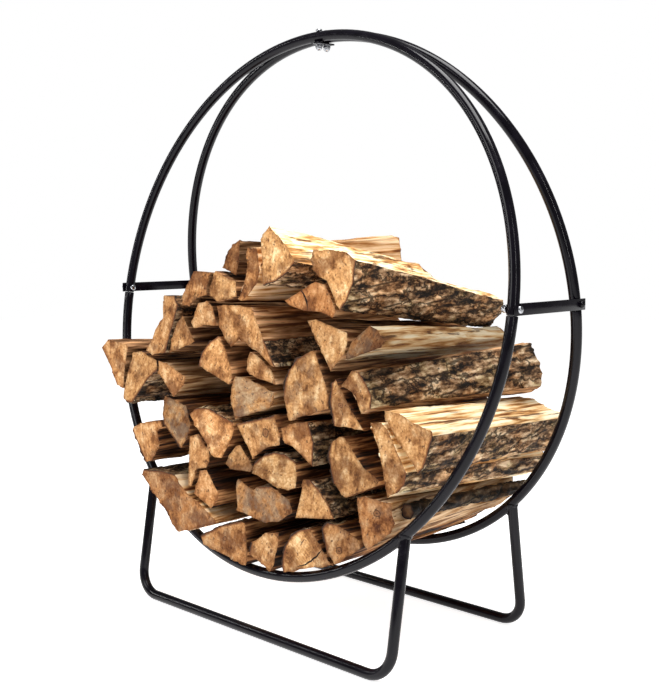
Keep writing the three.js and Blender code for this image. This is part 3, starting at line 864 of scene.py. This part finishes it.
logLooks = {
    "log_01": {"bark": [(95, 130)], "light": 0.92, "red": 0.35, "grey": 0.25, "streak": 80,
               "knot": (-62, 172, 5)},
    "log_02": {"bark": [(140, 200)], "light": 0.95, "red": 0.25, "streak": 70, "knot": (55, 170, 3)},
    "log_03": {"bark": [(96, 195)], "light": 1.12, "red": 0.05, "streak": 50, "rings": 0.4,
               "crack": (150, 172, 42, 38, 7)},
    "log_04": {"bark": [(75, 200)], "light": 0.85, "red": 0.3, "grey": 0.25, "streak": 70,
               "knot": (212, 200, 6)},
    "log_05": {"bark": [(60, 75)], "light": 0.8, "red": 0.6, "streak": 75, "paleAndLit": 0.75, "sideRed": 0.5,
               "knot": (292, 278, 7), "grey": 0.3},
    "log_06": {"bark": [(0, 360)], "light": 0.2, "red": 0.6, "grey": 0.4},
    "log_07": {"bark": [(78, 120)], "light": 0.8, "red": 0.6, "streak": 100, "grey": 0.3, "paleAndLit": 1.0},
    "log_08": {"light": 1.0, "red": 0.5, "streak": 80, "paleAndLit": 0.1},
    "log_09": {"light": 1.0, "red": 0.3, "streak": 90, "paleAndLit": 0.3},
    "log_10": {"bark": [(85, 110)], "light": 0.85, "red": 0.3, "grey": 0.5, "streak": 60},
    "log_11": {"bark": [(20, 70)], "light": 1.0, "red": 0.08, "streak": 70},
    "log_12": {"bark": [(150, 215)], "light": 0.92, "red": 0.12, "streak": 85, "paleAndLit": 0.05},
    "log_13": {"bark": [(-60, 5)], "light": 1.08, "red": 0.1, "streak": 75, "paleAndLit": 1.0, "sideRed": 0.1},
    "log_14": {"bark": [(-60, 5)], "light": 1.05, "red": 0.15, "streak": 100, "paleAndLit": 1.0, "sideRed": 0.1},
    "log_15": {"bark": [(195, 235)], "light": 1.0, "red": 0.4, "streak": 95},
    "log_16": {"bark": [(170, 230)], "light": 0.78, "red": 0.2, "grey": 0.5, "streak": 60},
    "log_17": {"bark": [(55, 125)], "light": 1.2, "red": 0.4, "streak": 40},
    "log_18": {"bark": [(92, 125)], "light": 1.0, "red": 0.2, "streak": 90, "knot": (42, 384, 8)},
    "log_19": {"light": 0.92, "red": 0.05, "grey": 0.2, "streak": 60, "paleAndLit": 0.3},
    "log_20": {"bark": [(60, 150)], "light": 0.98, "red": 0.0, "streak": 10, "rings": 0.35},
    "log_21": {"bark": [(-25, 35)], "light": 0.95, "red": 0.4, "streak": 80},
    "log_22": {"bark": [(-40, 62)], "light": 1.05, "red": 0.1, "streak": 70, "paleAndLit": 0.5},
    "log_23": {"bark": [(120, 200)], "light": 1.05, "red": 0.12, "streak": 65, "knot": (214, 450, 4)},
    "log_24": {"bark": [(108, 190)], "light": 1.05, "red": 0.08, "grey": 0.2, "streak": 85, "paleAndLit": 0.3},
    "log_25": {"light": 0.95, "red": 0.15, "grey": 0.45, "streak": 20, "paleAndLit": 0.7, "sideRed": 0.6},
    "log_26": {"light": 1.05, "red": 0.2, "streak": 80, "paleAndLit": 0.5},
    "log_27": {"bark": [(15, 45, 500, 548)], "light": 1.12, "red": 0.2, "streak": 80, "paleAndLit": 0.55,
               "sideRed": 0.8,
               "knot": (-20, 588, 4)},
    "log_28": {"bark": [(110, 190)], "light": 1.22, "red": 0.2, "streak": 60, "paleAndLit": 0.3, "grey": 0.05},
    "log_29": {"light": 1.0, "red": 0.35, "streak": 60, "paleAndLit": 0.6, "sideRed": 0.4},
    "log_30": {"bark": [(255, 335)], "light": 1.0, "red": 0.12, "streak": 60},
    "log_31": {"light": 1.02, "red": 0.35, "streak": 90, "paleAndLit": 0.35, "sideRed": 0.6},
    "log_32": {"light": 1.05, "red": 0.12, "streak": 70, "paleAndLit": 0.4},
    "log_33": {"bark": [(-40, 45)], "light": 0.92, "red": 0.35, "streak": 70},
    "log_34": {"light": 0.95, "red": 0.35, "streak": 90, "paleAndLit": 0.3},
    "log_35": {"light": 1.1, "red": 0.08, "streak": 80, "paleAndLit": 0.3},
    "log_36": {"light": 0.95, "red": 0.45, "streak": 75, "paleAndLit": 0.4},
    # log_37's low light is painted shade: its end lies in shade
    "log_37": {"light": 0.62, "red": 0.7, "streak": 60, "paleAndLit": 0.45, "sideRed": 0.5},
    "log_38": {"light": 0.95, "red": 0.5, "streak": 85, "paleAndLit": 0.9},
    "log_39": {"bark": [(265, 335)], "light": 1.3, "red": 0.0, "grey": 0.1, "streak": 80, "paleAndLit": 1.0,
               "sideRed": 0.1},
    "log_40": {"bark": [(-65, 30)], "light": 1.32, "red": 0.05, "streak": 110, "paleAndLit": 1.0, "sideRed": 0.1},
    "log_41": {"light": 0.9, "red": 0.75, "streak": 75, "paleAndLit": 0.4, "crack": (137, 628, 24, 118, 9)},
    "log_42": {"light": 1.05, "red": 0.1, "streak": 70, "paleAndLit": 0.4},
    # log_43's low light is painted shade: its end lies in shade
    "log_43": {"light": 0.52, "red": 0.6, "grey": 0.5, "streak": 50, "paleAndLit": 0.95, "sideRed": 0.15},
}
# by default the split sides are near-black: painted shade for sides deep in the stack
plainLook = {
    "bark": [], "light": 1.0, "red": 0.2, "grey": 0.1, "streak": 70, "rings": 0.15, "paleAndLit": 0.08,
    "sideRed": 0.6, "knot": (5000, 5000, 5), "crack": (5000, 5000, 10, 0, 0),     # both far off, so unseen
}
logShape = {
    "aroundStep": 0.0032,          # size of the grid's faces round a log, and along it
    "barkStep": 0.0046,
    "splitStep": 0.008,
    "endRings": (0.965, 0.95, 0.93, 0.88, 0.8, 0.65, 0.4),     # each ring on a sawn end against the last
    "mergeWithin": 0.00002,
    "endCorners": 12,              # a sawn end has more corners than this
    "endWithin": 0.05,
    "acrossWithin": 0.15,          # an edge that runs less than this along the log goes across it
    "endFacing": 0.8,
    "sawnFacing": 0.7,
    "rimBark": 0.4,
    "rimReach": 0.02,
    "edgeReach": 0.012,
    "pithOff": (0.06, -0.05),
    "reliefPlace": (0.013, 0.21, 0.37),
    "smoothAngle": 38,
    # name: texture kind, size, stretch along the log, depth, middle level, where
    "relief": {
        "crooked": ("CLOUDS", 0.070, 3.0, 0.0030, 0.6, None),
        "splinters": ("VORONOI", 0.020, 11.0, 0.0060, 0.55, "splitFaces"),
        "torn": ("CLOUDS", 0.013, 12.0, 0.0070, 0.62, "splitFaces"),
        "fibres": ("CLOUDS", 0.005, 20.0, 0.0022, 0.55, "splitFaces"),
        "plates": ("VORONOI", 0.018, 2.4, 0.0060, 0.45, "barkFaces"),
        "flakes": ("CLOUDS", 0.009, 2.0, 0.0085, 0.55, "barkFaces"),
        "saw": ("CLOUDS", 0.012, 1.0, 0.0016, 0.55, "sawnEnds"),
    },
}


def stretcher(name, along):
    # an empty whose length stretches a relief pattern along the logs; it goes once the logs are done
    deselectAll()
    bpy.ops.object.empty_add(location=logShape["reliefPlace"])
    empty = bpy.context.object
    empty.name = name
    empty.scale = (1, along, 1)
    return empty


reliefTools = {}
for reliefName, (kind, size, along, depth, level, where) in logShape["relief"].items():
    reliefTools[reliefName] = (
        reliefTexture(reliefName, kind, size), stretcher(f"{reliefName}Along", along), depth, level, where)


def editAll(piece):
    takeUp(piece)
    bpy.ops.object.mode_set(mode="EDIT")
    bpy.ops.mesh.select_all(action="SELECT")


def pick(mesh, kind, chosen):
    # leaves edit mode, selects just these faces or edges, and goes back in
    bpy.ops.mesh.select_mode(type=kind)
    bpy.ops.mesh.select_all(action="DESELECT")
    bpy.ops.object.mode_set(mode="OBJECT")
    items = mesh.polygons if kind == "FACE" else mesh.edges
    for item in items:
        item.select = chosen(item)
    bpy.ops.object.mode_set(mode="EDIT")


def pairEnds(mesh):
    # the two sawn ends' corners in order round the log, each with the one behind it
    ends = sorted(mesh.polygons, key=lambda face: -abs(face.normal.y) * face.area)[:2]
    front, back = sorted(ends, key=lambda face: face.center.y)
    near, far = list(front.vertices), list(reversed(back.vertices))

    def flat(loop):
        places = np.array([[mesh.vertices[i].co.x, mesh.vertices[i].co.z] for i in loop])
        places -= places.mean(0)
        return places / places.std(0)

    nearPlaces, farPlaces = flat(near), flat(far)
    shift = min(range(len(far)), key=lambda k: ((nearPlaces - np.roll(farPlaces, -k, 0)) ** 2).sum())
    return near, far[shift:] + far[:shift]


def cutIntoStrips(log, alongStep):
    # from the plain solid to a fine grid of faces along its sides, with inset sawn ends
    mesh = log.data
    editAll(log)
    bpy.ops.mesh.remove_doubles(threshold=logShape["mergeWithin"])
    bpy.ops.mesh.normals_make_consistent(inside=False)
    pick(mesh, "FACE", lambda face: abs(face.normal.y) > logShape["endFacing"])
    bpy.ops.mesh.dissolve_faces()
    bpy.ops.object.mode_set(mode="OBJECT")
    near, far = pairEnds(mesh)
    straight = {tuple(sorted(pair)) for pair in zip(near, far)}
    ends = set(near), set(far)
    bpy.ops.object.mode_set(mode="EDIT")

    def isDiagonal(edge):
        a, b = edge.vertices
        crosses = (a in ends[0]) != (b in ends[0])
        return crosses and tuple(sorted((a, b))) not in straight

    pick(mesh, "EDGE", isDiagonal)
    bpy.ops.mesh.dissolve_edges(use_verts=False)
    pick(mesh, "FACE", lambda face: abs(face.normal.y) > logShape["endFacing"])
    bpy.ops.mesh.delete(type="ONLY_FACE")
    bpy.ops.object.mode_set(mode="OBJECT")
    # how many cuts each edge round an end needs, the same for the two that face each other
    places = [vertex.co.copy() for vertex in mesh.vertices]
    cuts = {}
    for i in range(len(near)):
        j = (i + 1) % len(near)
        length = max((places[near[i]] - places[near[j]]).length, (places[far[i]] - places[far[j]]).length)
        for a, b in ((near[i], near[j]), (far[i], far[j])):
            cuts[tuple(sorted((a, b)))] = round(length / logShape["aroundStep"])
    layer = mesh.attributes.new("cuts", "INT", "EDGE")
    for edge in mesh.edges:
        layer.data[edge.index].value = cuts.get(tuple(sorted(edge.vertices)), 0)
    bpy.ops.object.mode_set(mode="EDIT")
    for count in sorted(set(cuts.values())):
        if count > 1:
            pick(mesh, "EDGE", lambda edge: (
                mesh.attributes["cuts"].data[edge.index].value == count and isAcross(mesh, edge)))
            bpy.ops.mesh.subdivide(number_cuts=count - 1)
    low, high = min(v.y for v in places), max(v.y for v in places)
    pick(mesh, "EDGE", lambda edge: not isAcross(mesh, edge))
    bpy.ops.mesh.subdivide(number_cuts=round((high - low) / alongStep) - 1)
    bpy.ops.mesh.select_mode(type="EDGE")
    bpy.ops.mesh.select_all(action="SELECT")
    bpy.ops.mesh.fill_holes(sides=0)
    for direction in (-1, 1):
        bpy.ops.object.mode_set(mode="OBJECT")
        end = max(mesh.polygons, key=lambda face: (
            (len(face.vertices) > logShape["endCorners"]) + direction * face.center.y))
        centre = end.center.copy()
        bpy.ops.object.mode_set(mode="EDIT")
        for size in logShape["endRings"]:
            pick(mesh, "FACE", lambda face: (
                len(face.vertices) > logShape["endCorners"]
                and direction * (face.center.y - centre.y) > -logShape["endWithin"]))
            bpy.ops.mesh.extrude_region_move()
            bpy.ops.transform.resize(value=(size, size, size), center_override=centre)
    bpy.ops.mesh.select_all(action="SELECT")
    bpy.ops.mesh.normals_make_consistent(inside=False)
    bpy.ops.object.mode_set(mode="OBJECT")
    mesh.attributes.remove(mesh.attributes["cuts"])


def isAcross(mesh, edge):
    a, b = (mesh.vertices[i].co for i in edge.vertices)
    return abs(a.y - b.y) < logShape["acrossWithin"]


def addAttribute(mesh, name, rows, domain="POINT"):
    rows = np.asarray(rows, dtype=np.float32)
    layer = mesh.attributes.new(name, "FLOAT_VECTOR" if rows.ndim > 1 else "FLOAT", domain)
    layer.data.foreach_set("vector" if rows.ndim > 1 else "value", rows.ravel())


def markFaces(log, look):
    # works out where the log is bark, sawn end or split side, and writes it on the mesh
    mesh = log.data
    count = len(mesh.vertices)
    place = np.array([vertex.co[:] for vertex in mesh.vertices])
    sawn = np.array([abs(face.normal.y) > logShape["sawnFacing"] for face in mesh.polygons])
    barkSum, sideSum = np.zeros(count), np.zeros(count)
    onEnd = np.zeros(count, dtype=bool)
    for face in mesh.polygons:
        corners = list(face.vertices)
        if sawn[face.index]:
            onEnd[corners] = True
            continue
        angle = math.degrees(math.atan2(face.normal.z, face.normal.x))
        sideSum[corners] += 1
        for zone in look["bark"]:
            inHeight = len(zone) == 2 or zone[2] < face.center.z * 1000 < zone[3]
            if (angle - zone[0]) % 360 <= zone[1] - zone[0] and inHeight:
                barkSum[corners] += 1
                break
    side = sideSum > 0
    bark = np.where(side, barkSum / np.maximum(sideSum, 1), 0)
    rim, inset = np.ones(count), np.ones(count)
    outline = onEnd & side
    for direction in (-1, 1):
        half = (place[:, 1] * direction) > 0
        for found, border, reach in (
                (rim, outline & (bark > logShape["rimBark"]), logShape["rimReach"]),
                (inset, outline, logShape["edgeReach"])):
            edge = np.flatnonzero(border & half)
            if not len(edge):
                continue
            tree = KDTree(len(edge))
            for i in edge:
                tree.insert((place[i, 0], 0, place[i, 2]), int(i))
            tree.balance()
            for i in np.flatnonzero(onEnd & half):
                found[i] = min(1, tree.find((place[i, 0], 0, place[i, 2]))[2] / reach)
    turn = math.radians(look["streak"])
    centre = place.mean(0)
    pithX, pithZ = logShape["pithOff"]
    pith = centre + np.array([pithX * math.cos(3 * turn), 0, pithZ])
    across, up = place[:, 0] - pith[0], place[:, 2] - pith[2]
    addAttribute(mesh, "grain", np.stack([
        across * math.sin(turn) - up * math.cos(turn), place[:, 1],
        across * math.cos(turn) + up * math.sin(turn)], 1))
    addAttribute(mesh, "skin", np.stack([bark, rim, inset], 1))
    addAttribute(mesh, "sawn", sawn.astype(float), "FACE")
    flat = np.ones(count)
    addAttribute(mesh, "toneAndShade", np.stack([flat * look["light"], flat * look["red"], flat * look["grey"]], 1))
    # the side paleness is stored squared: the wood's own paleness, with painted light and shade on the
    # split sides
    addAttribute(mesh, "sides", np.stack([
        flat * look["paleAndLit"] ** 2, flat * look["sideRed"], flat * look["rings"]], 1))
    knotX, knotZ, radius = look["knot"]
    addAttribute(mesh, "knot", np.stack([
        place[:, 0] - knotX / 1000, place[:, 2] - knotZ / 1000, flat * radius / 1000], 1))
    crackX, crackZ, half, tilt, bend = look["crack"]
    tilt = math.radians(tilt)
    offX, offZ = place[:, 0] - crackX / 1000, place[:, 2] - crackZ / 1000
    addAttribute(mesh, "crack", np.stack([
        (offX * math.cos(tilt) + offZ * math.sin(tilt)) / half * 1000,
        offZ * math.cos(tilt) - offX * math.sin(tilt), flat * bend / 1000], 1))
    inside = (onEnd & ~side).astype(float)
    for name, weights in (("barkFaces", bark), ("sawnEnds", inside), ("splitFaces", side * (1 - bark))):
        group = log.vertex_groups.new(name=name)
        for level in np.unique(np.round(weights, 2)):
            if level > 0:
                group.add(np.flatnonzero(np.round(weights, 2) == level).tolist(), float(level), "REPLACE")


def buildLog(node):
    look = {**plainLook, **logLooks[node]}
    log = bpy.data.objects.new(f"split_{node}", nodes[node].data.copy())
    bpy.context.scene.collection.objects.link(log)
    cutIntoStrips(log, logShape["barkStep" if look["bark"] else "splitStep"])
    markFaces(log, look)
    for name, (texture, empty, depth, level, where) in reliefTools.items():
        if where == "barkFaces" and not look["bark"]:
            continue
        relief = log.modifiers.new(name, "DISPLACE")
        relief.texture = texture
        relief.texture_coords = "OBJECT"
        relief.texture_coords_object = empty
        relief.strength = depth
        relief.mid_level = level
        if where:
            relief.vertex_group = where
        applyModifier(log, relief)
    log.vertex_groups.clear()
    smooth(log, logShape["smoothAngle"])
    finishPiece(log, f"split_{node}", logWood, "log_wood", node)
    return sum(len(face.vertices) - 2 for face in log.data.polygons)


triangles = sum(buildLog(node) for node in sorted(logLooks))
for tool in reliefTools.values():
    bpy.data.objects.remove(tool[1])
print("logs split and barked,", triangles, "triangles")
